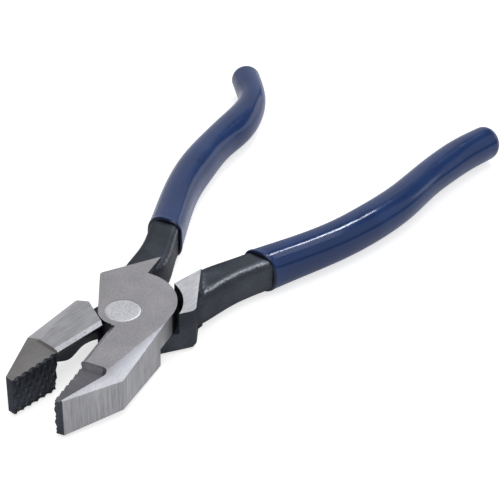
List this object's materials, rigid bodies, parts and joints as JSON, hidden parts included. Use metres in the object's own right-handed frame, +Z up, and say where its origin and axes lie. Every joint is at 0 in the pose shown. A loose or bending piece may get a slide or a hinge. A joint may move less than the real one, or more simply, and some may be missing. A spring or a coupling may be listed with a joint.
{
  "type": "lineman pliers",
  "caption": "lineman pliers of the ironworker pattern with lapped joint, toothed square jaws, side cutters, and dipped vinyl grips, one handle ending in an outward hook bend",
  "frame": {"origin": "joint axis on the underside of the head, where the tool lies flat", "axes": "+Z up along the joint axis, +Y from the joint toward the handle ends midway between the handles, +X toward the straight handle's side"},
  "size_m": [0.1201, 0.2315, 0.016],
  "materials": {
    "forged_steel": "forged alloy steel, dark oxide skin, head faces and jaw walls ground bright",
    "rivet_steel": "hot rivet of steel, headed both ends and ground flush with the head",
    "dipped_vinyl": "dark blue plastisol vinyl, hot dipped, glossy"
  },
  "bodies": {
    "hook_side": {"hook_half": "forged_steel", "pivot_rivet": "rivet_steel", "hook_grip": "dipped_vinyl"},
    "straight_side": {"straight_half": "forged_steel", "straight_grip": "dipped_vinyl"}
  },
  "joints": [
    {"name": "pivot", "type": "hinge", "parent": "hook_side", "child": "straight_side", "pos_m": [0, 0, 0.008], "axis": [0, 0, 1], "range_deg": [-21, 18.2]}
  ]
}
